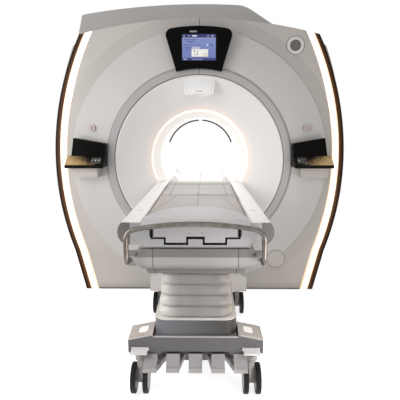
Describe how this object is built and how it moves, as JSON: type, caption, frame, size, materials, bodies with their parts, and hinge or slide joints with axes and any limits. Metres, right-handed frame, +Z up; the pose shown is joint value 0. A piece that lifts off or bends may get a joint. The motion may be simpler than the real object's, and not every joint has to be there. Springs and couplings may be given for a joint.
{
  "type": "mri scanner",
  "caption": "Whole-body magnetic resonance scanner with a flared patient bore and a docked wheeled table that lifts, undocks and slides its cradle into the bore.",
  "frame": {"origin": "on the floor, under the middle of the machine's outer box with the table docked", "axes": "+X to the right of someone who faces the bore, +Y into the bore along its axis, +Z up"},
  "size_m": [2.2828, 3.2, 2.3079],
  "materials": {
    "cover_white": "satin",
    "disc_grey": "satin",
    "ring_grey": "satin",
    "liner_white": "satin",
    "trim_brown": "satin",
    "light_strip": "frosted",
    "black_gloss": "gloss",
    "screen": "gloss",
    "button_grey": "satin",
    "vessel_steel": "satin",
    "coil_resin": "satin",
    "head_metal": "satin",
    "foot_steel": "satin",
    "frame_steel": "satin",
    "column_metal": "satin",
    "deck_grey": "satin",
    "rail_white": "gloss",
    "grey_dark": "satin",
    "table_grey": "satin",
    "handle_chrome": "polished",
    "cushion": "satin",
    "bellows_white": "matte",
    "pedal_grey": "satin",
    "caster_black": "satin",
    "caster_grey": "satin"
  },
  "bodies": {
    "gantry": {"front_cover": "cover_white", "light_strips": "light_strip", "edge_trims": "trim_brown", "side_cover_left": "cover_white", "side_cover_right": "cover_white", "top_cover": "cover_white", "turret_cover": "cover_white", "rear_cover": "cover_white", "face_disc": "disc_grey", "ring_trim": "ring_grey", "front_flare": "liner_white", "dock_well": "liner_white", "bore_light_ring": "light_strip", "bore_liner": "liner_white", "bore_seam_strips": "black_gloss", "bore_bridge": "deck_grey", "magnet_vessel": "vessel_steel", "gradient_coil": "coil_resin", "body_coil": "coil_resin", "magnet_feet": "foot_steel", "cold_head": "head_metal", "display_housing": "black_gloss", "display_screen": "screen", "laser_housing": "liner_white", "console_hoods": "black_gloss", "console_keypads": "black_gloss", "console_brackets": "cover_white", "access_port_cover": "cover_white"},
    "table_base": {"base_frame": "frame_steel", "base_covers": "cover_white", "base_bumper": "grey_dark", "base_collar": "grey_dark", "lift_column_outer": "column_metal"},
    "table_top": {"table_deck": "deck_grey", "side_rails": "rail_white", "rail_end_caps": "grey_dark", "foot_end_cover": "table_grey", "table_tray": "table_grey", "handle": "handle_chrome", "lift_column_inner": "column_metal", "bellows": "bellows_white"},
    "cradle": {"cradle_board": "deck_grey", "cradle_foot_end": "table_grey", "cradle_pads": "cushion"},
    "caster_fork_front_left": {"caster_fork_front_left": "caster_grey"},
    "caster_wheels_front_left": {"caster_wheels_front_left": "caster_black"},
    "caster_fork_front_right": {"caster_fork_front_right": "caster_grey"},
    "caster_wheels_front_right": {"caster_wheels_front_right": "caster_black"},
    "caster_fork_rear_left": {"caster_fork_rear_left": "caster_grey"},
    "caster_wheels_rear_left": {"caster_wheels_rear_left": "caster_black"},
    "caster_fork_rear_right": {"caster_fork_rear_right": "caster_grey"},
    "caster_wheels_rear_right": {"caster_wheels_rear_right": "caster_black"},
    "pedal_1": {"pedal_1": "pedal_grey"},
    "pedal_2": {"pedal_2": "pedal_grey"},
    "pedal_3": {"pedal_3": "pedal_grey"},
    "pedal_4": {"pedal_4": "pedal_grey"},
    "pedal_5": {"pedal_5": "pedal_grey"},
    "brake_bar": {"brake_bar": "pedal_grey"},
    "stop_button_left": {"stop_button_left": "button_grey"},
    "stop_button_right": {"stop_button_right": "button_grey"}
  },
  "joints": [
    {"name": "table_undock", "type": "slide", "parent": "gantry", "child": "table_base", "axis": [0, 1, 0], "range_m": [-1.5, 0]},
    {"name": "table_lift", "type": "slide", "parent": "table_base", "child": "table_top", "axis": [0, 0, 1], "range_m": [-0.17, 0], "deforming": ["bellows"]},
    {"name": "cradle_slide", "type": "slide", "parent": "table_top", "child": "cradle", "axis": [0, 1, 0], "range_m": [0, 1.35]},
    {"name": "swivel_front_left", "type": "hinge", "parent": "table_base", "child": "caster_fork_front_left", "pos_m": [-0.28, -1.42, 0.186], "axis": [0, 0, 1], "continuous": true},
    {"name": "roll_front_left", "type": "hinge", "parent": "caster_fork_front_left", "child": "caster_wheels_front_left", "pos_m": [-0.28, -1.454, 0.076], "axis": [1, 0, 0], "continuous": true},
    {"name": "swivel_front_right", "type": "hinge", "parent": "table_base", "child": "caster_fork_front_right", "pos_m": [0.28, -1.42, 0.186], "axis": [0, 0, 1], "continuous": true},
    {"name": "roll_front_right", "type": "hinge", "parent": "caster_fork_front_right", "child": "caster_wheels_front_right", "pos_m": [0.28, -1.454, 0.076], "axis": [1, 0, 0], "continuous": true},
    {"name": "swivel_rear_left", "type": "hinge", "parent": "table_base", "child": "caster_fork_rear_left", "pos_m": [-0.28, -0.45, 0.186], "axis": [0, 0, 1], "continuous": true},
    {"name": "roll_rear_left", "type": "hinge", "parent": "caster_fork_rear_left", "child": "caster_wheels_rear_left", "pos_m": [-0.28, -0.484, 0.076], "axis": [1, 0, 0], "continuous": true},
    {"name": "swivel_rear_right", "type": "hinge", "parent": "table_base", "child": "caster_fork_rear_right", "pos_m": [0.28, -0.45, 0.186], "axis": [0, 0, 1], "continuous": true},
    {"name": "roll_rear_right", "type": "hinge", "parent": "caster_fork_rear_right", "child": "caster_wheels_rear_right", "pos_m": [0.28, -0.484, 0.076], "axis": [1, 0, 0], "continuous": true},
    {"name": "press_pedal_1", "type": "hinge", "parent": "table_base", "child": "pedal_1", "pos_m": [-0.132, -1.35, 0.19], "axis": [1, 0, 0], "range_deg": [0, 10], "stiffness_Nm_per_rad": 30, "springref_deg": -17.19},
    {"name": "press_pedal_2", "type": "hinge", "parent": "table_base", "child": "pedal_2", "pos_m": [-0.066, -1.35, 0.19], "axis": [1, 0, 0], "range_deg": [0, 10], "stiffness_Nm_per_rad": 30, "springref_deg": -17.19},
    {"name": "press_pedal_3", "type": "hinge", "parent": "table_base", "child": "pedal_3", "pos_m": [0, -1.35, 0.19], "axis": [1, 0, 0], "range_deg": [0, 10], "stiffness_Nm_per_rad": 30, "springref_deg": -17.19},
    {"name": "press_pedal_4", "type": "hinge", "parent": "table_base", "child": "pedal_4", "pos_m": [0.066, -1.35, 0.19], "axis": [1, 0, 0], "range_deg": [0, 10], "stiffness_Nm_per_rad": 30, "springref_deg": -17.19},
    {"name": "press_pedal_5", "type": "hinge", "parent": "table_base", "child": "pedal_5", "pos_m": [0.132, -1.35, 0.19], "axis": [1, 0, 0], "range_deg": [0, 10], "stiffness_Nm_per_rad": 30, "springref_deg": -17.19},
    {"name": "brake_pedal", "type": "hinge", "parent": "table_base", "child": "brake_bar", "pos_m": [0, -1.498, 0.271], "axis": [1, 0, 0], "range_deg": [0, 12]},
    {"name": "press_stop_left", "type": "slide", "parent": "gantry", "child": "stop_button_left", "axis": [0, 1, 0], "range_m": [0, 0.003], "stiffness_N_per_m": 3000, "springref_m": -0.002},
    {"name": "press_stop_right", "type": "slide", "parent": "gantry", "child": "stop_button_right", "axis": [0, 1, 0], "range_m": [0, 0.003], "stiffness_N_per_m": 3000, "springref_m": -0.002}
  ]
}
